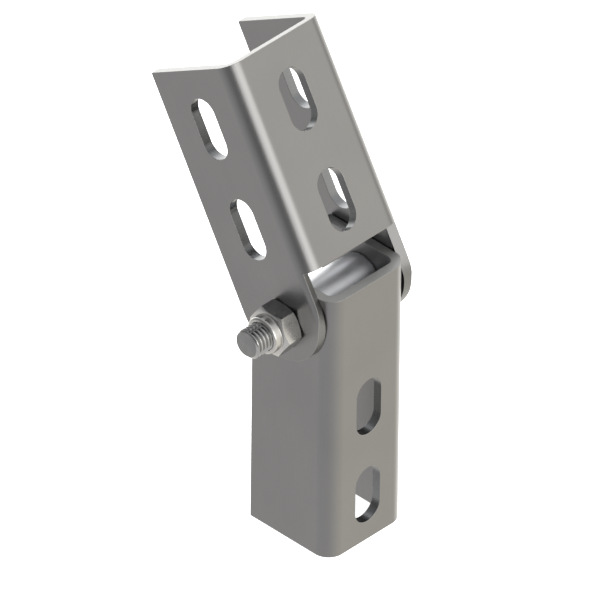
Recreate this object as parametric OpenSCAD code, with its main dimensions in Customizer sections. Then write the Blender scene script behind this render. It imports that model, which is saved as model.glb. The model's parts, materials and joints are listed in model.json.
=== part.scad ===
// Swivel corner connector: two channels bent from sheet, nested and turning on one bolt.
// The origin is the middle of the lower web's slots, on the web's outer face. X runs along
// the bolt, the lower web faces -Y, and +Z runs up the lower channel to the bolt.

/* [Sheet] */
// Thickness of the sheet that both channels are bent from
sheet_t = 4; // [3:0.5:5]
// Inside radius of the bends
bend_r = 3; // [2.5:0.5:5]

/* [Lower channel] */
// Width over the two flanges
lower_w = 41; // [38:1:60]
// Depth from the outside of the web to the open edge
lower_d = 41; // [38:1:60]
// Height of the channel above the bolt's axis
lower_top = 16; // [13:0.5:20]
// From the bolt's axis down to the middle of the nearest slot
lower_slot_first = 41; // [36:1:60]
// From the middle of the last slot to the cut end
lower_end_margin = 21; // [16:1:40]

/* [Upper channel] */
// How far the upper channel leans back from the lower one's line
lean = 30; // [0:5:90]
// Gap between an ear and the lower flange beside it
side_gap = 0.35; // [0.2:0.05:1]
// Smallest gap that the folded front of an ear leaves there
fold_gap = 0.05; // [0.02:0.01:0.1]
// How far the upper channel's web and open edge stand outside the lower channel
depth_gap = 0.5; // [0.3:0.1:2]
// Gap between the lower channel's top corners and the web's edge that swings past them
swing_gap = 2; // [1:0.5:6]
// How far the ears reach below the bolt's axis
ear_drop = 15.75; // [13:0.25:19]
// From the bolt's axis up to the middle of the nearest slot
upper_slot_first = 38; // [36:1:60]
// From the middle of the last slot to the cut end
upper_end_margin = 24; // [16:1:40]

/* [Slots] */
// Width of a slot, which takes the same bolt as the pivot
slot_w = 13; // [9:0.5:14]
// Length of a slot from end to end
slot_l = 25; // [18:1:28]
// Distance from one slot's middle to the next
slot_pitch = 41; // [34:1:60]
// Slots in each row
slot_count = 2; // [1:1:5]

/* [Pivot bolt] */
// Diameter over the thread
bolt_d = 12; // [8:1:14]
// Gap round the bolt in the holes and in the sleeve
hole_gap = 0.25; // [0.1:0.05:0.5]
// Width across the flats of the bolt's head and of the nut
across_flats = 18; // [16:0.5:24]
// Height of the bolt's head
head_h = 7.5; // [5:0.5:10]
// Height of the round bearing face under the head
head_face_h = 0.6; // [0.3:0.1:1]
// Length of bolt that stands out past the nut
thread_out = 7.5; // [3:0.5:20]
// Length of the chamfer at the bolt's end
point_h = 0.6; // [0.3:0.1:1.5]

/* [Lock nut and sleeve] */
// Height of the nut's hexagon
nut_hex_h = 8.3; // [6:0.1:12]
// Height of the round collar on the hexagon
collar_h = 3.7; // [3:0.1:5]
// Outside diameter of the collar
collar_d = 15.2; // [14.8:0.1:16]
// Thickness of the collar's wall and of its turned-in lip
collar_wall = 0.8; // [0.6:0.1:1]
// Outside radius of the turned-in lip
lip_r = 1.2; // [1:0.1:1.5]
// Gap round the thread in the nut and its ring
thread_gap = 0.05; // [0.02:0.01:0.1]
// Angle of the hexagons about the bolt, from a corner that points to the open side
hex_turn = 4; // [0:1:59]
// Outside diameter of the spacer sleeve between the lower flanges
sleeve_d = 20; // [18:0.5:24]

/* [Hidden] */
$fn = 72;

// Cuts reach this far past a face, so that no skin is left.
cut = 1;
// A hexagon's ends are chamfered at 30 degrees from this share of its flats.
chamfer_share = 0.95;

bend_out = bend_r + sheet_t;
hole_d = bolt_d + 2 * hole_gap;
slots_span = (slot_count - 1) * slot_pitch;

// Lower channel: the bolt's axis lies in the middle of its depth.
lower_in_w = lower_w - 2 * sheet_t;
lower_end = -slots_span / 2 - lower_end_margin;
pivot_y = lower_d / 2;
pivot_z = slots_span / 2 + lower_slot_first;
lower_reach = norm([pivot_y, lower_top]);

// Upper channel, in its own frame: the bolt's axis is the origin, +Z runs up the channel.
upper_in_w = lower_w + 2 * side_gap;
upper_w = upper_in_w + 2 * sheet_t;
ear_r = pivot_y + depth_gap;
upper_d = sheet_t + 2 * ear_r;
upper_end = upper_slot_first + slots_span + upper_end_margin;
web_start = sqrt(pow(lower_reach + swing_gap, 2) - ear_r * ear_r);
ear_mid = ear_r - ear_drop;
// The bends begin at this Y. The ears keep them only so far round that their outer corners
// come level with the web's inside and their inner corners clear the lower flanges.
bend_line = bend_out - sheet_t - ear_r;
ear_fold = min(asin(bend_r / bend_out), acos(1 - (side_gap - fold_gap) / bend_r));

// Bolt and nut
corner_r = across_flats / 2 / cos(30);
nut_h = nut_hex_h + collar_h;
bolt_len = upper_w + nut_h + thread_out;
thread_bore_r = bolt_d / 2 + thread_gap;
collar_r = collar_d / 2;

// Outline of a channel that is closed at the web, which starts at y = 0.
module rounded_front(w, d, r) {
    translate([-w / 2, r])
        square([w, d - r]);
    translate([r - w / 2, 0])
        square([w - 2 * r, d]);
    for (side = [-1, 1])
        translate([side * (w / 2 - r), r])
            circle(r = r);
}

// A bent channel of the given length, web face at y = 0, open at y = d.
module channel(w, d, length) {
    linear_extrude(length)
        difference() {
            rounded_front(w, d, bend_out);
            translate([0, sheet_t])
                rounded_front(w - 2 * sheet_t, d, bend_r);
        }
}

// One slot through a wall that faces Y, long side up.
module slot_cutter(depth) {
    straight = slot_l - slot_w;
    cube([slot_w, depth, straight], center = true);
    for (end = [-1, 1])
        translate([0, 0, end * straight / 2])
            rotate([90, 0, 0])
                cylinder(d = slot_w, h = depth, center = true);
}

// The row of slots, with the middle of the first one at z = 0.
module slot_row(depth) {
    for (i = [0 : slot_count - 1])
        translate([0, 0, i * slot_pitch])
            slot_cutter(depth);
}

module pivot_hole(length) {
    rotate([0, 90, 0])
        cylinder(d = hole_d, h = length, center = true);
}

// Side view of the upper channel: straight sides and a full round end at the ears.
module upper_side() {
    translate([-upper_d, ear_mid])
        square([upper_d + ear_r, upper_end - ear_mid]);
    translate([0, ear_mid])
        circle(r = ear_r);
}

// Plan of the notch below the web. It takes the web and the front of both bends, and its
// sides point at the middles of the bends, square to the sheet.
module web_notch() {
    bend_x = upper_w / 2 - bend_out;
    side_x = bend_x + (bend_out + cut) * cos(ear_fold);
    side_y = bend_line - (bend_out + cut) * sin(ear_fold);
    front_y = -upper_d;
    polygon([
        [bend_x, bend_line],
        [side_x, side_y],
        [side_x, front_y],
        [-side_x, front_y],
        [-side_x, side_y],
        [-bend_x, bend_line]
    ]);
}

// Hexagon with both ends chamfered, standing on z = 0.
module hex_block(height) {
    chamfer_r = chamfer_share * across_flats / 2;
    drop = (corner_r - chamfer_r) * tan(30);
    intersection() {
        cylinder(r = corner_r, h = height, $fn = 6);
        rotate_extrude()
            polygon([
                [0, 0],
                [chamfer_r, 0],
                [corner_r, drop],
                [corner_r, height - drop],
                [chamfer_r, height],
                [0, height]
            ]);
    }
}

// Half section of the collar: a wall, a rounded shoulder and the lip turned in over the ring.
module collar_section() {
    bend_z = nut_h - lip_r;
    bend_x = collar_r - lip_r;
    // the wall starts inside the hexagon
    translate([collar_r - collar_wall, nut_hex_h - cut])
        square([collar_wall, collar_h - lip_r + cut]);
    translate([bend_x, bend_z])
        intersection() {
            difference() {
                circle(r = lip_r);
                circle(r = lip_r - collar_wall);
            }
            square(lip_r);
        }
    translate([bend_x - collar_wall / 2, nut_h - collar_wall])
        square([collar_wall / 2, collar_wall]);
}

// Turns a piece that stands on z = 0 so that it points out along -X or +X.
module toward(side) {
    rotate([0, side * 90, 0])
        children();
}

module at_pivot() {
    translate([0, pivot_y, pivot_z])
        children();
}

module lower_bracket() {
    color("lightgray")
        difference() {
            translate([0, 0, lower_end])
                channel(lower_w, lower_d, pivot_z + lower_top - lower_end);
            translate([0, sheet_t / 2, -slots_span / 2])
                slot_row(sheet_t + 2 * cut);
            at_pivot()
                pivot_hole(lower_w + 2 * cut);
        }
}

// The channel is made too long and too deep, and its side view brings it to size.
module upper_bracket() {
    low_end = -ear_drop - cut;
    web_y = -ear_r - sheet_t / 2;
    color("silver")
        at_pivot()
            rotate([-lean, 0, 0])
                difference() {
                    intersection() {
                        translate([0, -ear_r - sheet_t, low_end])
                            channel(upper_w, upper_d + cut, upper_end + cut - low_end);
                        rotate([90, 0, 90])
                            linear_extrude(upper_w + 2 * cut, center = true)
                                upper_side();
                    }
                    translate([0, 0, low_end])
                        linear_extrude(web_start - low_end)
                            web_notch();
                    translate([0, web_y, upper_slot_first])
                        slot_row(sheet_t + 2 * cut);
                    translate([0, 0, upper_slot_first])
                        rotate([0, 0, 90])
                            slot_row(upper_w + 2 * cut);
                    pivot_hole(upper_w + 2 * cut);
                }
}

module spacer_sleeve() {
    color("gainsboro")
        at_pivot()
            rotate([0, 90, 0])
                difference() {
                    cylinder(d = sleeve_d, h = lower_in_w, center = true);
                    cylinder(d = hole_d, h = lower_in_w + 2 * cut, center = true);
                }
}

module pivot_bolt() {
    color("lightsteelblue")
        at_pivot() {
            translate([upper_w / 2, 0, 0])
                toward(1) {
                    cylinder(d = chamfer_share * across_flats, h = head_face_h);
                    translate([0, 0, head_face_h])
                        rotate([0, 0, hex_turn - 90])
                            hex_block(head_h - head_face_h);
                }
            translate([upper_w / 2, 0, 0])
                toward(-1) {
                    cylinder(d = bolt_d, h = bolt_len - point_h);
                    translate([0, 0, bolt_len - point_h])
                        cylinder(d1 = bolt_d, d2 = bolt_d - 2 * point_h, h = point_h);
                }
        }
}

module lock_nut() {
    color("lightslategray")
        at_pivot()
            translate([-upper_w / 2, 0, 0])
                toward(-1)
                    difference() {
                        union() {
                            rotate([0, 0, 90 - hex_turn])
                                hex_block(nut_hex_h);
                            rotate_extrude()
                                collar_section();
                        }
                        translate([0, 0, -cut])
                            cylinder(r = thread_bore_r, h = nut_h + 2 * cut);
                    }
}

// The ring stands on the hexagon, inside the collar and under its lip.
module nylon_ring() {
    color("dimgray")
        at_pivot()
            translate([-upper_w / 2 - nut_hex_h, 0, 0])
                toward(-1)
                    difference() {
                        cylinder(r = collar_r - collar_wall, h = collar_h - lip_r);
                        translate([0, 0, -cut])
                            cylinder(r = thread_bore_r, h = collar_h + 2 * cut);
                    }
}

lower_bracket();
upper_bracket();
spacer_sleeve();
pivot_bolt();
lock_nut();
nylon_ring();
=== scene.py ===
# %% [markdown]
# # A swivel corner connector
#
# The object is two channels bent from sheet steel, nested at one end and turning on a single bolt.
# The frame holds its solids at their real size and its one joint. This lesson dresses them: it
# makes each piece again the way a workshop would, checks it against the solid that it stands for,
# and gives it the finish that the real steel has.

# %% Load the frame
import json
import math

import bmesh
import bpy
from mathutils import Matrix, Vector


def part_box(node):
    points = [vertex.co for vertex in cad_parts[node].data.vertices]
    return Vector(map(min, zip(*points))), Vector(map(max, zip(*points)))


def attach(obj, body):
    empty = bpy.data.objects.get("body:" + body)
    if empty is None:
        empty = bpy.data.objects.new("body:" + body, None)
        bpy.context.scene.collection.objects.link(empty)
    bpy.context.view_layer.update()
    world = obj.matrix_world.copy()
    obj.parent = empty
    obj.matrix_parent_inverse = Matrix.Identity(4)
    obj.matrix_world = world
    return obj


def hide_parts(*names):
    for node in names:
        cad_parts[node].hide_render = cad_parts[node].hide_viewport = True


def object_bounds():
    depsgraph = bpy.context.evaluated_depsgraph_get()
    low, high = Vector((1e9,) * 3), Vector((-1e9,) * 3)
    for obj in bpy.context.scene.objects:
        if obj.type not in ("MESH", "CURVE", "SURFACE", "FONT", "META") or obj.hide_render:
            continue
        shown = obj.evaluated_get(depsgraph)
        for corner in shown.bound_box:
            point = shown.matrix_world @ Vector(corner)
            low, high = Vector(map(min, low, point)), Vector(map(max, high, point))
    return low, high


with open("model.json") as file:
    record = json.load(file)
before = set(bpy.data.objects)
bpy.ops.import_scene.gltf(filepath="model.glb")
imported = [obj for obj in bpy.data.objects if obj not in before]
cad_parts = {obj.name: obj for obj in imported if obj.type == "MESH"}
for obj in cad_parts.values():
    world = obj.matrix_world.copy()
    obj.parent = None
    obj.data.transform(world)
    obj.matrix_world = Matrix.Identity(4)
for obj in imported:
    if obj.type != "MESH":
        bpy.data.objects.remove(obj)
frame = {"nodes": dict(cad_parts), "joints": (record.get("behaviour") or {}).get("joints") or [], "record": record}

SOLID_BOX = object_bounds()
MM = 0.001
for name in sorted(frame["nodes"]):
    low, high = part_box(name)
    print(name, "measures", [round(side / MM, 2) for side in high - low], "mm")

# %% [markdown]
# ## The camera
#
# The picture was taken from the left and from above, from so far away that lines which are
# parallel on the object stay parallel. A very long lens does that. The camera could be placed by
# hand, but here its angles are known, so three directions are worked out from them: right,
# forward and up. The pivot's place in the picture, which is 591 pixels wide and high, then says
# where the camera stands.

# %% Camera
PICTURE = 591
SENSOR_WIDE = 36
VIEW_TURN = math.radians(45.95)
VIEW_DROP = math.radians(36.9)
VIEW_ROLL = math.radians(-0.657)
VIEW_FROM = 9.5
PIXELS_PER_METRE = 2695.8
PIVOT_PIXEL = (330.6, 294.6)

pivot = Vector(frame["joints"][0]["pos_m"])
flat_right = Vector((math.cos(VIEW_TURN), -math.sin(VIEW_TURN), 0))
forward = Vector((
    math.sin(VIEW_TURN) * math.cos(VIEW_DROP),
    math.cos(VIEW_TURN) * math.cos(VIEW_DROP),
    -math.sin(VIEW_DROP),
))
flat_up = flat_right.cross(forward)
picture_right = flat_right * math.cos(VIEW_ROLL) - flat_up * math.sin(VIEW_ROLL)
picture_up = flat_right * math.sin(VIEW_ROLL) + flat_up * math.cos(VIEW_ROLL)

lens_data = bpy.data.cameras.new("camera")
camera = bpy.data.objects.new("camera", lens_data)
bpy.context.scene.collection.objects.link(camera)
bpy.context.scene.camera = camera
lens_data.sensor_width = SENSOR_WIDE
lens_data.lens = PIXELS_PER_METRE * VIEW_FROM * SENSOR_WIDE / PICTURE
lens_data.clip_end = 2 * VIEW_FROM
pivot_right = (PIVOT_PIXEL[0] - PICTURE / 2) / PIXELS_PER_METRE
pivot_up = (PICTURE / 2 - PIVOT_PIXEL[1]) / PIXELS_PER_METRE
stand = pivot - forward * VIEW_FROM - picture_right * pivot_right - picture_up * pivot_up
facing = Matrix((picture_right, picture_up, -forward)).transposed().to_4x4()
camera.matrix_world = Matrix.Translation(stand) @ facing
print("camera at", [round(x, 3) for x in stand], "with a lens of", round(lens_data.lens), "mm")

# %% [markdown]
# ## Two helpers for nodes
#
# Room, finishes and shapes are all built from nodes. One helper adds a node and joins its inputs,
# the other does one step of arithmetic. They work in every kind of node tree.


# %% Helpers for nodes
def put(tree, kind, *links, **settings):
    """Adds a node, sets its properties and joins its inputs, each (input, source or value)."""
    node = tree.nodes.new(kind)
    for key, value in settings.items():
        setattr(node, key, value)
    for where, source in links:
        if isinstance(source, bpy.types.NodeSocket):
            tree.links.new(source, node.inputs[where])
        else:
            node.inputs[where].default_value = source
    return node


def sums(tree, operation, *values):
    """One step of arithmetic. Returns the result's socket."""
    return put(tree, "ShaderNodeMath", *enumerate(values), operation=operation).outputs[0]


# %% [markdown]
# ## The floor
#
# In the picture the ground is pure white all round, seen through the slots too, and there is no
# shadow on it, as on a light table. A lamp could wash a pale floor to white, but the part would
# still shade it. So this floor glows by itself. Mirrored in the steel such a glare would drown
# every form, and the steel doesn't show it: it shows the lower half of the room painted below.

# %% Floor
FLOOR_REACH = 6.0
FLOOR_GREY = (0.8, 0.8, 0.8, 1)
FLOOR_GLOW = 0.9
floor_paint = bpy.data.materials.new("pale_floor")
floor_paint.use_nodes = True
light_table = floor_paint.node_tree.nodes["Principled BSDF"].inputs
light_table["Base Color"].default_value = FLOOR_GREY
light_table["Roughness"].default_value = 0.9
light_table["Emission Color"].default_value = (1, 1, 1, 1)
light_table["Emission Strength"].default_value = FLOOR_GLOW

corners = [
    (x * FLOOR_REACH, y * FLOOR_REACH, SOLID_BOX[0].z)
    for x, y in ((-1, -1), (1, -1), (1, 1), (-1, 1))
]
floor_mesh = bpy.data.meshes.new("floor")
floor_mesh.from_pydata(corners, [], [(0, 1, 2, 3)])
floor_mesh.materials.append(floor_paint)
floor = bpy.data.objects.new("floor", floor_mesh)
bpy.context.scene.collection.objects.link(floor)
floor.visible_glossy = False
print("the floor lies at", round(SOLID_BOX[0].z / MM, 1), "mm")

# %% [markdown]
# ## The lamp
#
# One square panel hangs over the part and looks straight down, as the ceiling panel of a studio
# does. It brings the floor the rest of the way to white. The steel gets its light from the room,
# so the panel is hidden from its reflections.

# %% Overhead lamp
LAMP_WIDE = 2.4
LAMP_HIGH = 2.2
LAMP_WATTS = 60
lamp_data = bpy.data.lights.new("overhead_lamp", "AREA")
lamp_data.shape = "SQUARE"
lamp_data.size = LAMP_WIDE
lamp_data.energy = LAMP_WATTS
lamp = bpy.data.objects.new("overhead_lamp", lamp_data)
bpy.context.scene.collection.objects.link(lamp)
lamp.location = (0, 0, LAMP_HIGH)
lamp.visible_camera = False
lamp.visible_glossy = False
print("a panel of", LAMP_WIDE, "m with", LAMP_WATTS, "W hangs", LAMP_HIGH, "m up")

# %% [markdown]
# ## The room
#
# Steel has hardly a colour of its own: what one sees on it is the room. Here that room is light
# and warm on the right and dark on the left. Lamps and cards would give that too, but a room
# painted by direction is smooth everywhere and can be set side by side with the photograph,
# angle by angle. A direction has three parts: X to the right, Y to the back and Z up. A soft step
# turns such a part into a share from 0 to 1, a cone does that round a light, and a blend puts
# two colours together by such a share.

# %% Helpers for the room
sky = bpy.data.worlds.new("room")
bpy.context.scene.world = sky
sky.use_nodes = True
room = sky.node_tree
way = put(room, "ShaderNodeTexCoord").outputs["Generated"]


def soft_step(value, start, end):
    """Rises softly from 0 to 1 between two values."""
    return put(room, "ShaderNodeMapRange", ("Value", value), ("From Min", start), ("From Max", end),
               interpolation_type="SMOOTHSTEP").outputs[0]


def blend(share, first, second, mode="MIX"):
    """One colour passing into another, or with the mode ADD the second shining on the first."""
    return put(room, "ShaderNodeMix", ("Factor", share), ("A", first), ("B", second),
               data_type="RGBA", blend_type=mode).outputs["Result"]


def cone(direction, core, edge):
    """1 inside a cone about a direction, falling softly to 0 at the edge. Angles in degrees."""
    facing = put(room, "ShaderNodeVectorMath", (0, way), (1, Vector(direction).normalized()),
                 operation="DOT_PRODUCT").outputs["Value"]
    return soft_step(facing, math.cos(math.radians(edge)), math.cos(math.radians(core)))


# %% [markdown]
# Walls, floor and ceiling each pass from their left colour to their right one. Then they are
# stacked by height: floor into walls, and walls into the ceiling, which is dim over the dark wall.

# %% Walls, floor and ceiling
DARK_WALL = (0.28, 0.28, 0.285, 1)
WARM_WALL = (1.49, 1.455, 1.37, 1)
COOL_FLOOR = (0.94, 0.93, 0.94, 1)
WARM_FLOOR = (1.31, 1.26, 1.14, 1)
DIM_CEILING = (0.3, 0.31, 0.33, 1)
OVERHEAD = (1.05, 1.05, 1.05, 1)
ACROSS_WALLS = (-0.25, 0.45)
ACROSS_FLOOR = (-0.8, 0.5)
ACROSS_CEILING = (-0.5, 0.1)
FLOOR_TO_WALLS = (-0.45, 0.08)
WALLS_TO_CEILING = (0.3, 0.75)

sides = put(room, "ShaderNodeSeparateXYZ", (0, way)).outputs
walls = blend(soft_step(sides["X"], *ACROSS_WALLS), DARK_WALL, WARM_WALL)
ground = blend(soft_step(sides["X"], *ACROSS_FLOOR), COOL_FLOOR, WARM_FLOOR)
ceiling = blend(soft_step(sides["X"], *ACROSS_CEILING), DIM_CEILING, OVERHEAD)
lower_room = blend(soft_step(sides["Z"], *FLOOR_TO_WALLS), ground, walls)
whole_room = blend(soft_step(sides["Z"], *WALLS_TO_CEILING), lower_room, ceiling)
print("the bare room takes", len(room.nodes), "nodes")

# %% [markdown]
# Four things stand out in the room. A doorway on the right is dimmer than its wall, so it is
# blended in. The others are lights and are added: a low one on the right that draws the edges of
# the webs, the soft box a little left of the front that runs down the bends as a bright line, and
# a window behind that lights the faces which look up. A light has a direction, the angle up to
# which it is whole and the angle at which it has faded out.

# %% Lights of the room
DOORWAY = (0.8, 0.78, 0.74, 1)
EDGE_LIGHT = (0.72, 0.72, 0.74, 1)
SOFT_BOX = (3.0, 2.97, 2.9, 1)
BACK_WINDOW = (1.3, 1.32, 1.35, 1)
in_doorway = cone((0.9, -0.42, -0.04), 5, 16)
in_edge_light = cone((0.85, 0.15, -0.5), 10, 34)
in_soft_box = cone((-0.2, -0.94, 0.28), 9, 33)
in_window = cone((0.6, 0.72, 0.12), 22, 50)

lit_room = blend(in_doorway, whole_room, DOORWAY)
lit_room = blend(in_edge_light, lit_room, EDGE_LIGHT, mode="ADD")
lit_room = blend(in_soft_box, lit_room, SOFT_BOX, mode="ADD")
lit_room = blend(in_window, lit_room, BACK_WINDOW, mode="ADD")
room.links.new(lit_room, room.nodes["Background"].inputs["Color"])
bpy.context.scene.view_settings.view_transform = "Standard"
print("with its lights the room takes", len(room.nodes), "nodes")

# %% [markdown]
# ## Finishes
#
# Each finish is one shader with one or two noise textures. The textures read object coordinates,
# in metres, so a scale of 1000 gives spots about a millimetre wide. A finish that is drawn out
# along the channel gets a Mapping node, which squeezes the coordinates in that direction. All the
# steels are joined to their shader in the same way, so one helper does that.

# %% Helpers for finishes
NOISE_LOW = 0.3
NOISE_HIGH = 0.7


def start_finish(name):
    """An empty finish with its shader."""
    finish = bpy.data.materials.new(name)
    finish.use_nodes = True
    return finish, finish.node_tree, finish.node_tree.nodes["Principled BSDF"]


def noise(tree, size, stretch=(1, 1, 1), turn=0.0, detail=3.0):
    """Noise with spots of a size in metres, stretched along the turned axes. Returns its value."""
    place = put(tree, "ShaderNodeTexCoord").outputs["Object"]
    squeezed = put(tree, "ShaderNodeMapping", ("Vector", place), ("Rotation", (turn, 0, 0)),
                   ("Scale", stretch), vector_type="TEXTURE").outputs["Vector"]
    return put(tree, "ShaderNodeTexNoise", ("Vector", squeezed), ("Scale", 1 / size),
               ("Detail", detail)).outputs["Fac"]


def between(tree, value, low, high):
    """Maps noise to a range from low to high."""
    return put(tree, "ShaderNodeMapRange", ("Value", value), ("From Min", NOISE_LOW),
               ("From Max", NOISE_HIGH), ("To Min", low), ("To Max", high)).outputs["Result"]


def shade(tree, value, dark, light):
    """Mixes two colours by noise."""
    return put(tree, "ShaderNodeMix", ("Factor", between(tree, value, 0, 1)), ("A", (*dark, 1)),
               ("B", (*light, 1)), data_type="RGBA").outputs["Result"]


def relief(tree, value, height):
    """A bump of the given height in metres."""
    return put(tree, "ShaderNodeBump", ("Distance", height), ("Height", value)).outputs["Normal"]


def join_steel(tree, shader, colour, roughness, bump):
    """Joins a steel's colour, roughness and bump to its shader."""
    tree.links.new(colour, shader.inputs["Base Color"])
    tree.links.new(roughness, shader.inputs["Roughness"])
    tree.links.new(bump, shader.inputs["Normal"])
    shader.inputs["Metallic"].default_value = 1.0


# %% [markdown]
# The sheet is satin steel: grey, smooth, with a fine grain along the way it was rolled and very
# faint clouds. The grain could be drawn as scratches, but stretched noise is enough at this
# scale, and it never repeats. The upper channel leans, so its grain is turned with it.

# %% Satin sheet
MOUNTS = {mount["name"]: mount for mount in frame["record"]["mounts"]}
lean_axis = Vector(MOUNTS["upper_web_face"]["axis"])
LEAN = math.atan2(lean_axis.z, -lean_axis.y)
CLOUD_WIDE = 30 * MM
GRAIN_WIDE = 0.6 * MM
GRAIN_STRETCH = (1, 1, 30)
GRAIN_HIGH = 0.004 * MM
SATIN_DARK = (0.215, 0.213, 0.212)
SATIN_LIGHT = (0.228, 0.226, 0.224)
SATIN_ROUGH = (0.3, 0.36)


def satin_sheet(name, turn):
    """Satin steel with its grain along Z, turned about X with the channel."""
    finish, tree, shader = start_finish(name)
    clouds = noise(tree, CLOUD_WIDE, turn=turn)
    grain = noise(tree, GRAIN_WIDE, GRAIN_STRETCH, turn, detail=2)
    join_steel(tree, shader, shade(tree, clouds, SATIN_DARK, SATIN_LIGHT),
               between(tree, grain, *SATIN_ROUGH), relief(tree, grain, GRAIN_HIGH))
    return finish


lower_sheet = satin_sheet("lower_sheet_steel", 0.0)
upper_sheet = satin_sheet("upper_sheet_steel", -LEAN)
print("the upper channel leans by", round(math.degrees(LEAN), 1), "degrees")

# %% [markdown]
# Where the sheet was cut it looks different, by the way it was cut. All these faces have fine
# marks, in other greys and with another roughness: the sheared outline is the darkest, the walls
# of the punched slots are smoother and a little darker, which is painted shade in the slots, and
# the sawn square ends are rough and bright, partly as bare steel and partly by painted light. The
# edges themselves were broken with a file, and they catch the light as thin bright lines; their
# lighter grey is partly bare filed steel and partly a painted highlight.

# %% Cut and broken edges
MARK_WIDE = 0.5 * MM
MARK_HIGH = 0.01 * MM
MARK_SMOOTHER = 0.03
MARK_ROUGHER = 0.05


def cut_steel(name, dark, light, rough):
    """Steel with fine marks, for one kind of cut."""
    finish, tree, shader = start_finish(name)
    marks = noise(tree, MARK_WIDE, detail=2)
    roughness = between(tree, marks, rough - MARK_SMOOTHER, rough + MARK_ROUGHER)
    join_steel(tree, shader, shade(tree, marks, dark, light), roughness,
               relief(tree, marks, MARK_HIGH))
    return finish


cut_edge = cut_steel("cut_edge_steel", (0.18, 0.18, 0.178), (0.204, 0.204, 0.202), 0.4)
# The filed edges are lighter than the sheet: partly bare filed steel, partly a painted highlight along every edge.
filed_edge_and_painted_highlight = cut_steel("broken_edge_steel", (0.28, 0.28, 0.278), (0.31, 0.31, 0.308), 0.4)
# The slot walls are a little darker than the sheet: painted shade inside the slots, besides their smoother finish.
slot_wall_and_painted_shade = cut_steel("punched_wall_steel", (0.19, 0.194, 0.2), (0.215, 0.22, 0.226), 0.3)
# The sawn ends are lighter than the sheet: partly bare sawn steel, partly painted light on these ends.
sawn_face_and_painted_light = cut_steel("sawn_end_steel", (0.35, 0.35, 0.348), (0.385, 0.385, 0.383), 0.5)
print("finishes so far:", sorted(finish.name for finish in bpy.data.materials))

# %% [markdown]
# ## Geometry Nodes
#
# What repeats, or follows a rule, is made by small node trees. Each tree has named inputs for its
# sizes. A helper makes an object, sets the inputs by their socket identifiers, and turns the
# result into a plain mesh, so nothing stays live.


# %% Helpers for node trees
SOCKETS = {"float": "NodeSocketFloat", "int": "NodeSocketInt", "vector": "NodeSocketVector"}


def start_tree(name, **inputs):
    """A geometry tree with a geometry and a material input, and one input for each name."""
    tree = bpy.data.node_groups.new(name, "GeometryNodeTree")
    tree.interface.new_socket("Geometry", in_out="INPUT", socket_type="NodeSocketGeometry")
    for label, kind in inputs.items():
        tree.interface.new_socket(label, in_out="INPUT", socket_type=SOCKETS[kind])
    tree.interface.new_socket("Finish", in_out="INPUT", socket_type="NodeSocketMaterial")
    tree.interface.new_socket("Geometry", in_out="OUTPUT", socket_type="NodeSocketGeometry")
    return tree, tree.nodes.new("NodeGroupInput")


def end_tree(tree, given, geometry):
    """Ends a tree as every tree here ends: instances made real and the finish set."""
    real = put(tree, "GeometryNodeRealizeInstances", (0, geometry)).outputs[0]
    painted = put(tree, "GeometryNodeSetMaterial", (0, real), ("Material", given.outputs["Finish"]))
    out = tree.nodes.new("NodeGroupOutput")
    tree.links.new(painted.outputs[0], out.inputs[0])


def grow(tree, mesh, finish, **inputs):
    """Runs a tree on a mesh and returns the result as a plain mesh."""
    thing = bpy.data.objects.new("draft", mesh)
    bpy.context.scene.collection.objects.link(thing)
    step = thing.modifiers.new("tree", "NODES")
    step.node_group = tree
    values = {**inputs, "Finish": finish}
    for socket in tree.interface.items_tree:
        if socket.in_out == "INPUT" and socket.name in values:
            step[socket.identifier] = values[socket.name]
    graph = bpy.context.evaluated_depsgraph_get()
    plain = bpy.data.meshes.new_from_object(thing.evaluated_get(graph))
    thing.modifiers.remove(step)
    bpy.data.objects.remove(thing)
    return plain


# %% [markdown]
# ## Sizes of the sheet
#
# Nearly every size comes from the frame. The sheet's thickness is what the lower channel's width
# leaves beside the sleeve. Bent steel keeps its length in a layer a little inside its middle, so
# the bends are unfolded by the radius of that layer.

# %% Sizes
lower_low, lower_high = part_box("lower_bracket")
upper_low, upper_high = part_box("upper_bracket")
sleeve_low, sleeve_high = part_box("spacer_sleeve")
slots = MOUNTS["lower_web_slots"]["dims"]

LOWER_WIDE = lower_high.x - lower_low.x
SHEET = (LOWER_WIDE - (sleeve_high.x - sleeve_low.x)) / 2
BEND_IN = 3 * MM
BEND_OUT = BEND_IN + SHEET
TRUE_LAYER = 0.44
UNFOLDED = BEND_IN + TRUE_LAYER * SHEET
SLOT_WIDE = 2 * slots["hole_r_mm"] * MM
SLOT_LONG = slots["slot_length_mm"] * MM
SLOT_STEP = slots["spacing_y_mm"] * MM
SLOT_COUNT = slots["count"]
SLOTS_SPAN = (SLOT_COUNT - 1) * SLOT_STEP
PIVOT_HOLE = 12.5 * MM
print("the sheet is", round(SHEET / MM, 2), "mm thick")
print("slots are", round(SLOT_WIDE / MM, 1), "by", round(SLOT_LONG / MM, 1), "mm")

# %% [markdown]
# ## A punched panel
#
# The workshop punches the slots while the sheet is flat. The tree below does the same: it takes
# an outline, sets slot outlines on a row of points and a round hole on one point, and fills what
# is left between them. Cutting slots out of a solid by a Boolean would work too, but a filled
# outline has clean edges, which can be rounded later. The slots' ends are a hair less than half
# circles, so that no edge there has no length.

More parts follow.
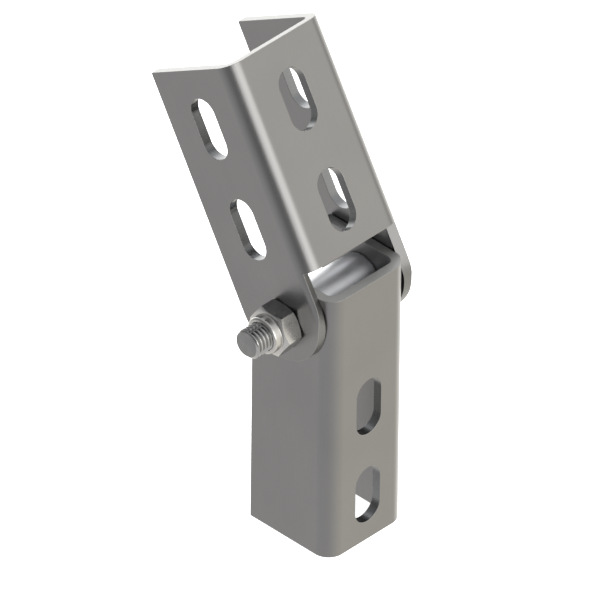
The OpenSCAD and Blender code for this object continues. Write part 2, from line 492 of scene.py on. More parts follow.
# %% Tree: punched panel
ARC_STEPS = 12
HOLE_STEPS = 48
NEARLY_HALF = 0.4999
panel_tree, given = start_tree(
    "punched_panel", Slot_width="float", Slot_length="float", Slot_step="float",
    Slot_count="int", First_slot="vector", Hole_count="int", Hole_at="vector", Hole_width="float",
)
take = given.outputs
outline = put(panel_tree, "GeometryNodeMeshToCurve", (0, take["Geometry"]))
square_slot = put(panel_tree, "GeometryNodeCurvePrimitiveQuadrilateral",
                  ("Width", take["Slot_width"]), ("Height", take["Slot_length"]))
half_slot = sums(panel_tree, "MULTIPLY", take["Slot_width"], NEARLY_HALF)
round_slot = put(panel_tree, "GeometryNodeFilletCurve", (0, square_slot.outputs[0]),
                 ("Radius", half_slot), ("Count", ARC_STEPS), mode="POLY")
step_up = put(panel_tree, "ShaderNodeCombineXYZ", ("Y", take["Slot_step"]))
row = put(panel_tree, "GeometryNodeMeshLine", ("Count", take["Slot_count"]),
          ("Start Location", take["First_slot"]), ("Offset", step_up.outputs[0]))
slot_row = put(panel_tree, "GeometryNodeInstanceOnPoints", ("Points", row.outputs[0]),
               ("Instance", round_slot.outputs[0]))
half_hole = sums(panel_tree, "MULTIPLY", take["Hole_width"], 0.5)
circle = put(panel_tree, "GeometryNodeCurvePrimitiveCircle", ("Resolution", HOLE_STEPS),
             ("Radius", half_hole))
spot = put(panel_tree, "GeometryNodeMeshLine", ("Count", take["Hole_count"]),
           ("Start Location", take["Hole_at"]))
hole = put(panel_tree, "GeometryNodeInstanceOnPoints", ("Points", spot.outputs[0]),
           ("Instance", circle.outputs[0]))
lines = put(panel_tree, "GeometryNodeJoinGeometry", (0, hole.outputs[0]))
panel_tree.links.new(slot_row.outputs[0], lines.inputs[0])
panel_tree.links.new(outline.outputs[0], lines.inputs[0])
real_lines = put(panel_tree, "GeometryNodeRealizeInstances", (0, lines.outputs[0]))
filled = put(panel_tree, "GeometryNodeFillCurve", (0, real_lines.outputs[0]))
end_tree(panel_tree, given, filled.outputs[0])


def outline_mesh(points):
    """A closed line through the points, as a mesh of edges."""
    mesh = bpy.data.meshes.new("outline")
    edges = [(i, (i + 1) % len(points)) for i in range(len(points))]
    mesh.from_pydata([(x, y, 0) for x, y in points], edges, [])
    return mesh


def block(x0, x1, y0, y1):
    """The corners of a rectangle."""
    return [(x0, y0), (x1, y0), (x1, y1), (x0, y1)]


def punch(points, slot_count=0, first_slot=(0, 0), hole_count=0, hole_at=(0, 0)):
    """Runs the punched panel tree on an outline."""
    return grow(
        panel_tree, outline_mesh(points), None,
        Slot_width=SLOT_WIDE, Slot_length=SLOT_LONG, Slot_step=SLOT_STEP, Slot_count=slot_count,
        First_slot=(*first_slot, 0.0), Hole_count=hole_count, Hole_at=(*hole_at, 0.0),
        Hole_width=PIVOT_HOLE,
    )


sample = punch(block(-20 * MM, 20 * MM, -60 * MM, 60 * MM), SLOT_COUNT, (0, -SLOTS_SPAN / 2))
print("a sample panel has", len(sample.vertices), "points and", len(sample.polygons), "faces")

# %% [markdown]
# ## A bend
#
# Between web and flange the sheet runs round a quarter circle. A press brake makes that from a
# flat strip, and so does this tree: it reads how far each point lies from the strip's edge and
# rolls it by that much. A layer inside the sheet keeps its length, so its radius turns distances
# into angles, and the skin is rolled to the larger radius outside. Because the strip is drawn
# flat, a rounded end such as an ear's can be cut on it first and is then folded along.

# %% Tree: bend
bend_tree, given = start_tree("bend", Radius="float", Unfolded_radius="float")
take = given.outputs
position = put(bend_tree, "GeometryNodeInputPosition").outputs[0]
flat_place = put(bend_tree, "ShaderNodeSeparateXYZ", (0, position)).outputs
angle = sums(bend_tree, "DIVIDE", flat_place["X"], take["Unfolded_radius"])
inward = sums(bend_tree, "MULTIPLY", take["Radius"], -1)
rolled = put(bend_tree, "ShaderNodeCombineXYZ",
             ("X", sums(bend_tree, "MULTIPLY", inward, sums(bend_tree, "COSINE", angle))),
             ("Y", sums(bend_tree, "MULTIPLY", inward, sums(bend_tree, "SINE", angle))),
             ("Z", flat_place["Z"]))
bent = put(bend_tree, "GeometryNodeSetPosition", (0, take["Geometry"]),
           ("Position", rolled.outputs[0]))
end_tree(bend_tree, given, bent.outputs[0])


def bend(columns):
    """Rolls a flat strip. Each column is (angle in degrees, heights from the top down)."""
    points = []
    faces = []
    last = []
    for angle, heights in columns:
        now = list(range(len(points), len(points) + len(heights)))
        points += [(UNFOLDED * math.radians(angle), 0, height) for height in heights]
        for i in range(min(len(last), len(now)) - 1):
            faces.append((last[i], last[i + 1], now[i + 1], now[i]))
        last = now
    strip = bpy.data.meshes.new("strip")
    strip.from_pydata(points, [], faces)
    return grow(bend_tree, strip, None, Radius=BEND_OUT, Unfolded_radius=UNFOLDED)


sample = bend([(angle, (100 * MM, 0)) for angle in range(0, 91, 10)])
side = [point.co.x for point in sample.vertices]
print("a bend of nine steps has", len(sample.polygons), "faces and is",
      round((max(side) - min(side)) / MM, 2), "mm wide")

# %% [markdown]
# ## Welding and thickening
#
# Web, two bends and two flanges are set side by side as the press brake leaves them, and welded
# along their shared edges. At this point the sheet has no thickness: it is the outer skin, and
# modifiers do the rest. Three helpers come first: one welds, one turns the skin so that its web
# faces away from the channel, and one runs modifiers and returns a plain mesh.

# %% Weld and thicken
WELD = 0.002 * MM


def joined(parts):
    """One mesh from several, each with its place, welded where they meet."""
    whole = bmesh.new()
    for mesh, place in parts:
        moved = mesh.copy()
        moved.transform(place)
        whole.from_mesh(moved)
        bpy.data.meshes.remove(moved)
    bmesh.ops.remove_doubles(whole, verts=whole.verts, dist=WELD)
    bmesh.ops.recalc_face_normals(whole, faces=whole.faces)
    return whole


def face_web_out(skin):
    """Turns an open skin so that its web faces away from the channel."""
    web_face = min(skin.faces, key=lambda face: face.calc_center_median().y)
    if web_face.normal.y > 0:
        bmesh.ops.reverse_faces(skin, faces=skin.faces)


def finished(mesh, *steps):
    """The mesh after a few modifiers, each given as (kind, settings), as a plain mesh."""
    thing = bpy.data.objects.new("draft", mesh)
    bpy.context.scene.collection.objects.link(thing)
    for kind, settings in steps:
        step = thing.modifiers.new(kind.lower(), kind)
        for key, value in settings.items():
            setattr(step, key, value)
    graph = bpy.context.evaluated_depsgraph_get()
    plain = bpy.data.meshes.new_from_object(thing.evaluated_get(graph))
    bpy.data.objects.remove(thing)
    return plain


# %% [markdown]
# ## Sorting the cut faces
#
# The modifiers give one finish to all cut faces, but slots are punched and square ends are sawn.
# The faces could be told apart by their place. Here they are gathered into islands, each a run
# of cut faces that touch, and an island's height says what it is: a square end has none, a hole's
# wall is as tall as a slot at most, and what is left is the outline.

# %% Sort the cut faces
EDGE_BREAK = 0.14 * MM
HOLE_LIMIT = 30 * MM
CUT, BROKEN, PUNCHED, SAWN = range(1, 5)


def sort_cuts(mesh):
    """Tells the walls of holes and the square ends from the rest of the cut faces."""
    sheet = bmesh.new()
    sheet.from_mesh(mesh)
    waiting = {face for face in sheet.faces if face.material_index == CUT}
    while waiting:
        island = [waiting.pop()]
        for face in island:
            near = {other for edge in face.edges for other in edge.link_faces} & waiting
            waiting -= near
            island.extend(near)
        heights = [point.co.z for face in island for point in face.verts]
        tall = max(heights) - min(heights)
        kind = CUT
        if tall < EDGE_BREAK:
            kind = SAWN
        elif tall < HOLE_LIMIT:
            kind = PUNCHED
        for face in island:
            face.material_index = kind
    sheet.to_mesh(mesh)
    sheet.free()


# %% [markdown]
# ## Even shading
#
# Where faces meet, smooth shading blends their directions. The large flat faces would then turn
# grey towards their broken edges. So each corner of a face gets its own direction, as the sum
# over the faces of its own kind: flat faces keep theirs, bends and cuts are shaded round, and the
# broken edges run into both. A sum that is almost nothing has no direction and is passed over.

# %% Even normals
FLAT = math.cos(math.radians(0.5))
ALMOST_NOTHING = 0.1


def even_normals(mesh):
    """Keeps flat faces flat, bends and cuts round, and lets broken edges run into both."""
    flat, bent, cut, broken = range(4)
    kinds = []
    for face in mesh.polygons:
        if face.material_index:
            kinds.append(broken if face.material_index == BROKEN else cut)
        else:
            kinds.append(flat if max(abs(x) for x in face.normal) > FLAT else bent)
    sums_at = [[Vector() for _ in mesh.vertices] for _ in range(4)]
    for face, kind in zip(mesh.polygons, kinds):
        for point in face.vertices:
            sums_at[kind][point] += face.normal
    normals = []
    for face, kind in zip(mesh.polygons, kinds):
        order = {flat: (flat,), bent: (flat, bent), cut: (cut,), broken: range(4)}[kind]
        for point in face.vertices:
            choices = (sums_at[k][point] for k in order)
            normals.append(next(total for total in choices if total.length > ALMOST_NOTHING))
    mesh.normals_split_custom_set([normal.normalized() for normal in normals])


# %% [markdown]
# ## Folding a channel
#
# One function folds both channels. Solidify gives the skin its thickness, inwards, and Bevel
# breaks every sharp edge, and both hand their new faces the number of a finish. Loop slide is
# switched off in Bevel: beside the slots a filled panel has long thin triangles, and corners that
# slide along them would fold some over.

# %% Fold a channel
SHARP = math.radians(35)
CUT_FINISHES = (cut_edge, filed_edge_and_painted_highlight, slot_wall_and_painted_shade, sawn_face_and_painted_light)
ACROSS_WEB = Matrix(((1, 0, 0, 0), (0, 0, -1, 0), (0, 1, 0, 0), (0, 0, 0, 1)))
ALONG_FLANGE = Matrix(((0, 0, 1, 0), (1, 0, 0, 0), (0, 1, 0, 0), (0, 0, 0, 1)))
MIRROR = Matrix.Diagonal((-1, 1, 1, 1))


def channel(name, place, wide, web, flange, side, finish):
    """Folds a channel from its web, flange and bend, in its own frame, and puts it in place."""
    at_bend = Matrix.Translation((BEND_OUT - wide / 2, BEND_OUT, 0))
    at_wall = Matrix.Translation((-wide / 2, 0, 0)) @ ALONG_FLANGE
    skin = joined([
        (web, ACROSS_WEB),
        (side, at_bend), (side, MIRROR @ at_bend),
        (flange, at_wall), (flange, MIRROR @ at_wall),
    ])
    face_web_out(skin)
    sheet = bpy.data.meshes.new("skin")
    skin.to_mesh(sheet)
    skin.free()
    for each in (finish, *CUT_FINISHES):
        sheet.materials.append(each)
    sheet.polygons.foreach_set("use_smooth", [True] * len(sheet.polygons))
    mesh = finished(
        sheet,
        ("SOLIDIFY", {"thickness": SHEET, "offset": -1, "use_even_offset": True,
                      "material_offset_rim": CUT}),
        ("BEVEL", {"width": EDGE_BREAK, "segments": 2, "limit_method": "ANGLE",
                   "angle_limit": SHARP, "loop_slide": False, "material": BROKEN}),
    )
    sort_cuts(mesh)
    even_normals(mesh)
    mesh.transform(place)
    mesh.name = name
    return mesh


# %% [markdown]
# ## Checking a piece against its solid
#
# Every piece has to be as large as the solid that it stands for, and closed all round. The volume,
# the open edges and the sides of the box tell that at once, so they are printed for each piece.

# %% Compare with the solid
def compare(mesh, node):
    """Prints volume and open edges of a mesh and of its solid, and how far their boxes differ."""
    for label, source in (("made", mesh), ("solid", frame["nodes"][node].data)):
        solid = bmesh.new()
        solid.from_mesh(source)
        bmesh.ops.remove_doubles(solid, verts=solid.verts, dist=WELD)
        volume = round(solid.calc_volume() / MM ** 3, 1)
        open_edges = sum(1 for edge in solid.edges if not edge.is_manifold)
        print(node, label, "has", volume, "mm3 and", open_edges, "open edges")
        solid.free()
    low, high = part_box(node)
    for axis in range(3):
        side = [point.co[axis] for point in mesh.vertices]
        print("  axis", axis, "off by", round((min(side) - low[axis]) / MM, 3), "and",
              round((max(side) - high[axis]) / MM, 3), "mm")


# %% [markdown]
# ## The lower channel
#
# The lower channel has two slots in its web and plain flanges with one hole each for the pivot
# bolt. The web's outline is a rectangle that stops where the bends begin, and the same holds for
# the flanges.

# %% Lower channel
BEND_STEPS = 16
LOWER_DEEP = lower_high.y - lower_low.y
lower_flat = LOWER_WIDE / 2 - BEND_OUT
lower_web = punch(block(-lower_flat, lower_flat, lower_low.z, lower_high.z),
                  SLOT_COUNT, (0, -SLOTS_SPAN / 2))
lower_flange = punch(block(BEND_OUT, LOWER_DEEP, lower_low.z, lower_high.z),
                     hole_count=1, hole_at=(pivot.y, pivot.z))
lower_bend = bend([
    (90 * i / BEND_STEPS, (lower_high.z, lower_low.z)) for i in range(BEND_STEPS + 1)
])
lower_mesh = channel("lower_channel", Matrix(), LOWER_WIDE, lower_web, lower_flange, lower_bend,
                     lower_sheet)
compare(lower_mesh, "lower_bracket")

# %% [markdown]
# ## The upper channel
#
# The upper channel is a little wider, so that its ears pass outside the lower one. Its web stops
# short of the pivot, far enough to swing past the lower channel's corner. All of this is drawn
# upright, with the pivot at height zero, and leaned back about the bolt at the end.

# %% Upper channel's sizes
UPPER_WIDE = upper_high.x - upper_low.x
DEPTH_GAP = 0.5 * MM
BOLT_DEPTH = SHEET + pivot.y + DEPTH_GAP
UPPER_DEEP = 2 * BOLT_DEPTH - SHEET
SWING_GAP = 2 * MM
FIRST_SLOT = 38 * MM
LAST_MARGIN = 24 * MM

lower_corner = math.hypot(pivot.y, lower_high.z - pivot.z)
web_bottom = math.sqrt((lower_corner + SWING_GAP) ** 2 - (BOLT_DEPTH - SHEET) ** 2)
upper_top = FIRST_SLOT + SLOTS_SPAN + LAST_MARGIN
print("the upper web runs from", round(web_bottom / MM, 2), "to", round(upper_top / MM, 2), "mm")

# %% [markdown]
# Each ear was cut as a strip with a full round end, a little wider than the flat part of the
# flange. So its front takes part in the fold: there the ear begins to curl in before it ends.
# The arc of its end is divided in two, one part on the flat flange and one on the strip that is
# rolled.

# %% Ears
EAR_ROUND = 20.65 * MM
EAR_MIDDLE = (UPPER_DEEP - EAR_ROUND, 4.95 * MM)
EAR_STEPS = 40
CURL_STEPS = 8


def ear_low(depth):
    """Height of the ear's round end at a depth from the web, on the flat sheet."""
    return EAR_MIDDLE[1] - math.sqrt(max(EAR_ROUND ** 2 - (EAR_MIDDLE[0] - depth) ** 2, 0))


flat_turn = math.acos((BEND_OUT - EAR_MIDDLE[0]) / EAR_ROUND)
round_end = [
    (EAR_MIDDLE[0] + EAR_ROUND * math.cos(a), EAR_MIDDLE[1] - EAR_ROUND * math.sin(a))
    for a in (flat_turn * i / EAR_STEPS for i in range(EAR_STEPS + 1))
]
curl = (BEND_OUT - EAR_MIDDLE[0] + EAR_ROUND) / UNFOLDED
curl_turns = [curl * i / CURL_STEPS for i in range(CURL_STEPS + 1)]
rest_turns = [curl + (math.pi / 2 - curl) * i / BEND_STEPS for i in range(1, BEND_STEPS + 1)]
print("the front of an ear is folded by", round(math.degrees(curl), 1), "degrees")

# %% [markdown]
# Now the parts are punched and rolled like the lower ones. The bend is a strip with three heights
# while it runs through the ear, top, web and the ear's arc, and with two behind it.

# %% Upper channel
upper_bend = bend(
    [(math.degrees(a), (upper_top, web_bottom, ear_low(BEND_OUT - UNFOLDED * a))) for a in curl_turns]
    + [(math.degrees(a), (upper_top, web_bottom)) for a in rest_turns]
)
ear_outline = [(BEND_OUT, upper_top), (UPPER_DEEP, upper_top), *round_end, (BEND_OUT, web_bottom)]
upper_flat = UPPER_WIDE / 2 - BEND_OUT
upper_web = punch(block(-upper_flat, upper_flat, web_bottom, upper_top),
                  SLOT_COUNT, (0, FIRST_SLOT))
upper_flange = punch(ear_outline, SLOT_COUNT, (BOLT_DEPTH, FIRST_SLOT),
                     hole_count=1, hole_at=(BOLT_DEPTH, 0))
lean_back = (Matrix.Translation(pivot) @ Matrix.Rotation(-LEAN, 4, "X")
             @ Matrix.Translation((0, -BOLT_DEPTH, 0)))
upper_mesh = channel("upper_channel", lean_back, UPPER_WIDE, upper_web, upper_flange, upper_bend,
                     upper_sheet)
compare(upper_mesh, "upper_bracket")

# %% [markdown]
# ## Put the channels on their bodies
#
# Each mesh becomes an object at the origin, takes the place of its solid, and rides on the body
# that the solid belongs to.


# %% Place a piece
def piece(mesh, body, node):
    """Shows a mesh in place of a solid of the frame, on that solid's body."""
    thing = bpy.data.objects.new(mesh.name, mesh)
    bpy.context.scene.collection.objects.link(thing)
    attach(thing, body)
    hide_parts(node)
    print(thing.name, "has", len(mesh.polygons), "faces")


piece(lower_mesh, "lower", "lower_bracket")
piece(upper_mesh, "upper", "upper_bracket")

# %% [markdown]
# ## Round and six-sided parts
#
# Bolt, nut, sleeve and ring are turned parts, so each is a stack of rings round one axis. A ring
# has a height and a radius, and the radius may change round the ring: that is how a hexagon and
# the curved top of its chamfer come out of the same few lines. The rings stand in the bolt's own
# frame, where Z runs from the head to the tip and zero is under the head.

# %% Bolt's frame
bolt_low, bolt_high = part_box("pivot_bolt")
under_head = Vector((UPPER_WIDE / 2, pivot.y, pivot.z))
HEAD_TO_TIP = Matrix(((0, 0, -1, 0), (0, 1, 0, 0), (1, 0, 0, 0), (0, 0, 0, 1)))
BOLT_FRAME = Matrix.Translation(under_head) @ HEAD_TO_TIP
bolt_long = under_head.x - bolt_low.x
head_high = bolt_high.x - under_head.x
print("the bolt is", round(bolt_long / MM, 2), "mm long, its head", round(head_high / MM, 2), "mm high")

# %% [markdown]
# A hexagon's ring has most of its points near the six corners, where the chamfer curves. The
# corners are cut back a little, as real ones are worn. Every ring has 72 points, so that any two
# can be joined.

# %% Rings
AROUND = 72
FLATS = 18 * MM
CHAMFER_ROUND = 0.95 * FLATS / 2
CHAMFER_SLOPE = math.tan(math.radians(30))
HEX_TURN = math.radians(4)
CORNER_WEAR = 0.06 * MM
CORNER_ROUND = FLATS / 2 / math.cos(math.pi / 6) - CORNER_WEAR
SIDE_STEPS = [math.radians(a) for a in (-30, -29.2, -28, -24, -17, -8.5, 0, 8.5, 17, 24, 28, 29.2)]
EVEN_ANGLES = [math.tau * i / AROUND for i in range(AROUND)]
HEX_ANGLES = [
    (math.pi / 3 * (side + 1) - HEX_TURN, step) for side in range(6) for step in SIDE_STEPS
]


def round_ring(height, radius):
    """A plain ring."""
    return [(radius * math.cos(a), radius * math.sin(a), height) for a in EVEN_ANGLES]


def hex_ring(height, rise=0.0):
    """A ring along the hexagon. With a rise, its height follows the chamfer's cone."""
    ring = []
    for middle, step in HEX_ANGLES:
        radius = min(FLATS / 2 / math.cos(step), CORNER_ROUND)
        angle = middle + step
        ring.append((radius * math.cos(angle), radius * math.sin(angle),
                     height + rise * (radius - CHAMFER_ROUND)))
    return ring


def hex_circle(height, radius):
    """A round ring with its points at the hexagon's angles."""
    return [(radius * math.cos(m + s), radius * math.sin(m + s), height) for m, s in HEX_ANGLES]


# %% [markdown]
# Rings become a surface when each is joined to the one before it. A bolt is closed at both ends,
# and a tube by joining its last ring to its first. At the end doubled points are merged, the faces
# are turned outwards, and the creases are marked.

# %% Stack the rings
CREASE = math.radians(32)


def stack(solid, rings, start=None):
    """Adds rings to a mesh and joins each to the one before. Returns the last ring's points."""
    last = start
    for ring in rings:
        points = [solid.verts.new(place) for place in ring]
        if last:
            for i in range(AROUND):
                j = (i + 1) % AROUND
                solid.faces.new((last[i], last[j], points[j], points[i]))
        last = points
    return last


def close_round(solid, first, last):
    """Joins the last ring to the first, as on a tube."""
    for i in range(AROUND):
        j = (i + 1) % AROUND
        solid.faces.new((last[i], last[j], first[j], first[i]))


def turned(name, solid, finish, place):
    """Ends a turned part: normals out, creases sharp, in its place."""
    bmesh.ops.remove_doubles(solid, verts=solid.verts, dist=WELD / 4)
    bmesh.ops.recalc_face_normals(solid, faces=solid.faces)
    mesh = bpy.data.meshes.new(name)
    solid.to_mesh(mesh)
    solid.free()
    mesh.transform(place)
    mesh.materials.append(finish)
    mesh.polygons.foreach_set("use_smooth", [True] * len(mesh.polygons))
    mesh.set_sharp_from_angle(angle=CREASE)
    return mesh


# %% [markdown]
# ## Plated finishes
#
# The bolt and the nut are plated and a little shinier than the sheet. The thread was rolled, which
# polishes its ridges, so it is brighter than the bolt's end. The sleeve is the brightest piece.
# Their finishes are the same recipe with other greys and another roughness. The nylon is dark and
# has no metal in it.

# %% Plated steel and nylon
PLATE_HIGH = 0.004 * MM
PLATE_SMOOTHER = 0.03
PLATE_ROUGHER = 0.04
SPECK_WIDE = 0.8 * MM


def plated(name, dark, light, rough, spot):
    """Plated steel with faint spots of a size in metres."""
    finish, tree, shader = start_finish(name)
    cloud = noise(tree, spot)
    roughness = between(tree, cloud, rough - PLATE_SMOOTHER, rough + PLATE_ROUGHER)
    join_steel(tree, shader, shade(tree, cloud, dark, light), roughness,
               relief(tree, cloud, PLATE_HIGH))
    return finish


bolt_finish = plated("plated_bolt", (0.21, 0.21, 0.208), (0.235, 0.235, 0.232), 0.22, 3 * MM)
nut_finish = plated("plated_nut", (0.45, 0.443, 0.43), (0.5, 0.493, 0.48), 0.28, 4 * MM)
thread_finish = plated("rolled_thread_steel", (0.36, 0.36, 0.358), (0.4, 0.4, 0.398), 0.16, 3 * MM)
sleeve_finish = plated("bright_sleeve", (0.64, 0.65, 0.675), (0.68, 0.69, 0.715), 0.46, 4 * MM)

nylon, tree, shader = start_finish("dark_nylon")
speck = noise(tree, SPECK_WIDE)
speckled = shade(tree, speck, (0.015, 0.015, 0.016), (0.03, 0.03, 0.032))
tree.links.new(speckled, shader.inputs["Base Color"])
tree.links.new(between(tree, speck, 0.4, 0.5), shader.inputs["Roughness"])
print("finishes:", sorted(finish.name for finish in bpy.data.materials))

# %% [markdown]
# ## The thread
#
# A thread is a groove that follows a helix. The tree starts from a flat grid: one way runs along
# the helix, the other way across one pitch. It is rolled up by a rule, so every ridge follows the
# helix exactly, and each turn meets the next edge to edge and is merged with it. Where the bolt
# ends, the heights stop at the tip and the radius follows the chamfer. At the other end the
# groove runs out into the plain shank.

# %% Tree: rolled thread
PROFILE_POINTS = 17
ROOT_ENDS = 0.15
CREST_STARTS = 0.95
thread_tree, given = start_tree(
    "rolled_thread", Crest_radius="float", Depth="float", Pitch="float", Length="float",
    Run_out="float", Tip_radius="float", Turns="int", Steps_per_turn="int",
)
take = given.outputs


def calc(operation, *values):
    """One sum in the thread's tree."""
    return sums(thread_tree, operation, *values)


grid = put(thread_tree, "GeometryNodeMeshGrid", ("Size X", 1), ("Size Y", 1),
           ("Vertices X", calc("MULTIPLY_ADD", take["Turns"], take["Steps_per_turn"], 1)),
           ("Vertices Y", PROFILE_POINTS))
position = put(thread_tree, "GeometryNodeInputPosition").outputs[0]
where = put(thread_tree, "ShaderNodeSeparateXYZ", (0, position)).outputs
turns_done = calc("MULTIPLY", calc("ADD", where["X"], 0.5), take["Turns"])
height = calc("MULTIPLY", calc("ADD", turns_done, calc("SUBTRACT", where["Y"], 0.5)), take["Pitch"])
height = calc("MINIMUM", calc("MAXIMUM", height, 0), take["Length"])

in_pitch = calc("SUBTRACT", calc("DIVIDE", height, take["Pitch"]), turns_done)
in_pitch = calc("FLOORED_MODULO", in_pitch, 1)
from_root = calc("ABSOLUTE", calc("MULTIPLY_ADD", in_pitch, 2, -1))
ridge = put(thread_tree, "ShaderNodeMapRange", ("Value", from_root), ("From Min", ROOT_ENDS),
            ("From Max", CREST_STARTS), interpolation_type="SMOOTHSTEP").outputs[0]
root = calc("SUBTRACT", take["Crest_radius"], take["Depth"])
radius = calc("MULTIPLY_ADD", ridge, take["Depth"], root)

shallow = calc("MULTIPLY", calc("DIVIDE", height, take["Run_out"]), take["Depth"])
radius = calc("MAXIMUM", radius, calc("SUBTRACT", take["Crest_radius"], shallow))
chamfer = calc("ADD", take["Tip_radius"], calc("SUBTRACT", take["Length"], height))
radius = calc("MINIMUM", radius, chamfer)

angle = calc("MULTIPLY", turns_done, math.tau)
rolled = put(thread_tree, "ShaderNodeCombineXYZ",
             ("X", calc("MULTIPLY", radius, calc("COSINE", angle))),
             ("Y", calc("MULTIPLY", radius, calc("SINE", angle))),
             ("Z", height))
placed = put(thread_tree, "GeometryNodeSetPosition", (0, grid.outputs[0]),
             ("Position", rolled.outputs[0]))
welded = put(thread_tree, "GeometryNodeMergeByDistance", (0, placed.outputs[0]),
             ("Distance", WELD / 4))
end_tree(thread_tree, given, welded.outputs[0])
print("the thread's tree has", len(thread_tree.nodes), "nodes")

# %% [markdown]
# ## The pivot bolt
#
# The bolt is a standard M12 with a thread 30 mm long, and such a thread is 0.6134 of its pitch
# deep. The rings of the shank start from the edge where the thread runs out and go on to the head,
# so bolt and thread are a single closed mesh. The thread's faces carry the number of their own
# finish.

# %% Pivot bolt
CREST = 6 * MM
PITCH = 1.75 * MM
THREAD_DEEP = 0.6134 * PITCH
THREAD_LONG = 30 * MM
RUN_OUT = 1.5 * MM
TIP_CHAMFER = 0.6 * MM
HEAD_FACE = 0.6 * MM
THREAD_SLOT = 1

thread_mesh = grow(thread_tree, outline_mesh([]), None, Crest_radius=CREST, Depth=THREAD_DEEP,
                   Pitch=PITCH, Length=THREAD_LONG, Run_out=RUN_OUT,
                   Tip_radius=CREST - TIP_CHAMFER, Turns=math.ceil(THREAD_LONG / PITCH) + 1,
                   Steps_per_turn=AROUND)
thread_mesh.transform(Matrix.Translation((0, 0, bolt_long - THREAD_LONG)))


def rim(solid, height):
    """The open edge's points at a height, in order round the axis."""
    open_points = {point for edge in solid.edges if edge.is_boundary for point in edge.verts}
    points = [point for point in open_points if abs(point.co.z - height) < WELD]
    return sorted(points, key=lambda point: math.atan2(point.co.y, point.co.x) % math.tau)


bolt = bmesh.new()
bolt.from_mesh(thread_mesh)
bmesh.ops.remove_doubles(bolt, verts=bolt.verts, dist=WELD / 4)
for face in bolt.faces:
    face.material_index = THREAD_SLOT
tip = rim(bolt, bolt_long)
shank = rim(bolt, bolt_long - THREAD_LONG)
print("thread:", len(bolt.faces), "faces; rims of", len(tip), "and", len(shank), "points")
bolt.faces.new(tip)
head_top = stack(bolt, [
    round_ring(0, CREST),
    hex_circle(0, CHAMFER_ROUND),
    hex_circle(-HEAD_FACE, CHAMFER_ROUND),
    hex_ring(-HEAD_FACE, -CHAMFER_SLOPE),
    hex_ring(-head_high, CHAMFER_SLOPE),
    hex_circle(-head_high, CHAMFER_ROUND),
], shank)
bolt.faces.new(head_top)
bolt_mesh = turned("hexagon_bolt", bolt, bolt_finish, BOLT_FRAME)
bolt_mesh.materials.append(thread_finish)
compare(bolt_mesh, "pivot_bolt")
piece(bolt_mesh, "upper", "pivot_bolt")

# %% [markdown]
# ## The lock nut and its ring
#
# Behind the hexagon the nut has a thin round collar. A nylon ring is set in it and the collar's
# rim is rolled in over the ring, which is what makes the nut hold by itself. The rolled rim is a
# quarter circle of rings.

# %% Lock nut
nut_low, nut_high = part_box("lock_nut")
ring_low, ring_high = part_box("nylon_ring")
BORE = 6.05 * MM
COLLAR = 7.6 * MM
COLLAR_WALL = 0.8 * MM
RIM_BEND = 1.2 * MM
FOOT_BEND = 0.3 * MM
RIM_STEPS = 8

nut_start = under_head.x - nut_high.x
nut_end = under_head.x - nut_low.x
collar_start = under_head.x - ring_high.x
rim_start = nut_end - RIM_BEND


def arc(middle_height, middle_radius, size, start, end):
    """Rings along an arc, with angles in degrees from the radius towards the height."""
    angles = [math.radians(start + (end - start) * i / RIM_STEPS) for i in range(RIM_STEPS + 1)]
    return [hex_circle(middle_height + size * math.sin(a), middle_radius + size * math.cos(a))
            for a in angles]


nut = bmesh.new()
first = stack(nut, [hex_circle(nut_start, BORE)])
last = stack(nut, [
    hex_circle(nut_start, CHAMFER_ROUND),
    hex_ring(nut_start, CHAMFER_SLOPE),
    hex_ring(collar_start, -CHAMFER_SLOPE),
    hex_circle(collar_start, CHAMFER_ROUND),
    *arc(collar_start + FOOT_BEND, COLLAR + FOOT_BEND, FOOT_BEND, 270, 180),
    *arc(rim_start, COLLAR - RIM_BEND, RIM_BEND, 0, 90),
    hex_circle(nut_end, BORE),
    hex_circle(nut_end - COLLAR_WALL, BORE),
    *arc(rim_start, COLLAR - RIM_BEND, RIM_BEND - COLLAR_WALL, 90, 0),
    hex_circle(collar_start, COLLAR - COLLAR_WALL),
    hex_circle(collar_start, BORE),
], first)
close_round(nut, first, last)
nut_mesh = turned("collar_lock_nut", nut, nut_finish, BOLT_FRAME)
compare(nut_mesh, "lock_nut")
piece(nut_mesh, "upper", "lock_nut")

# %% [markdown]
# The nylon ring fills the room between the collar and the bolt. It is a short tube of four
# corners, with the two outer ones rounded off a little, as a moulded ring's are.

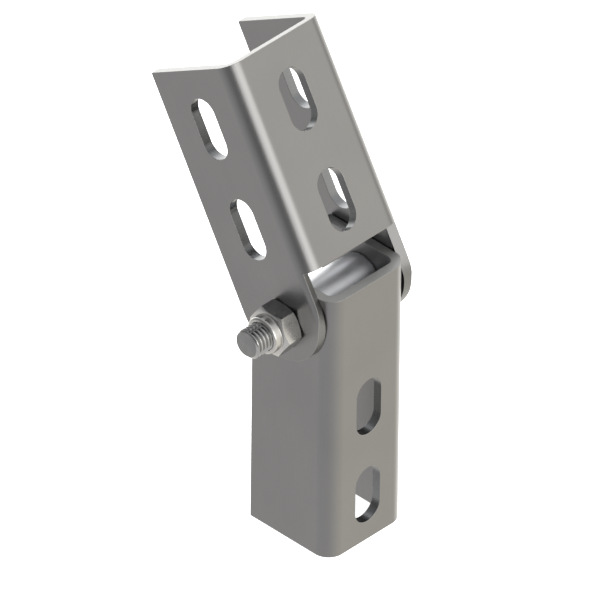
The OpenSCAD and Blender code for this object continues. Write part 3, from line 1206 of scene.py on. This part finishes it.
# %% Nylon ring
ring_end = under_head.x - ring_low.x
RING_ROUND = 0.15 * MM
ring = bmesh.new()
first = stack(ring, [round_ring(collar_start, BORE)])
last = stack(ring, [
    round_ring(collar_start, COLLAR - COLLAR_WALL - RING_ROUND),
    round_ring(collar_start + RING_ROUND, COLLAR - COLLAR_WALL),
    round_ring(ring_end - RING_ROUND, COLLAR - COLLAR_WALL),
    round_ring(ring_end, COLLAR - COLLAR_WALL - RING_ROUND),
    round_ring(ring_end, BORE),
], first)
close_round(ring, first, last)
ring_mesh = turned("nylon_lock_ring", ring, nylon, BOLT_FRAME)
compare(ring_mesh, "nylon_ring")
piece(ring_mesh, "upper", "nylon_ring")

# %% [markdown]
# ## The spacer sleeve
#
# The sleeve keeps the lower flanges apart while the nut is tightened. It is a plain tube with
# its outer edges turned down a little.

# %% Spacer sleeve
SLEEVE_CHAMFER = 0.4 * MM
SLEEVE_ROUND = 10 * MM
sleeve_from = under_head.x - sleeve_high.x
sleeve_to = under_head.x - sleeve_low.x
sleeve = bmesh.new()
first = stack(sleeve, [round_ring(sleeve_from, PIVOT_HOLE / 2)])
last = stack(sleeve, [
    round_ring(sleeve_from, SLEEVE_ROUND - SLEEVE_CHAMFER),
    round_ring(sleeve_from + SLEEVE_CHAMFER, SLEEVE_ROUND),
    round_ring(sleeve_to - SLEEVE_CHAMFER, SLEEVE_ROUND),
    round_ring(sleeve_to, SLEEVE_ROUND - SLEEVE_CHAMFER),
    round_ring(sleeve_to, PIVOT_HOLE / 2),
], first)
close_round(sleeve, first, last)
sleeve_mesh = turned("bright_spacer_sleeve", sleeve, sleeve_finish, BOLT_FRAME)
compare(sleeve_mesh, "spacer_sleeve")
piece(sleeve_mesh, "lower", "spacer_sleeve")

# %% [markdown]
# ## Sizes at the end
#
# The dressed part has to be as large as the solids. The solids' box is printed.

# %% Print the solids' size
print("solids:", [round(x / MM, 2) for x in SOLID_BOX[1] - SOLID_BOX[0]])
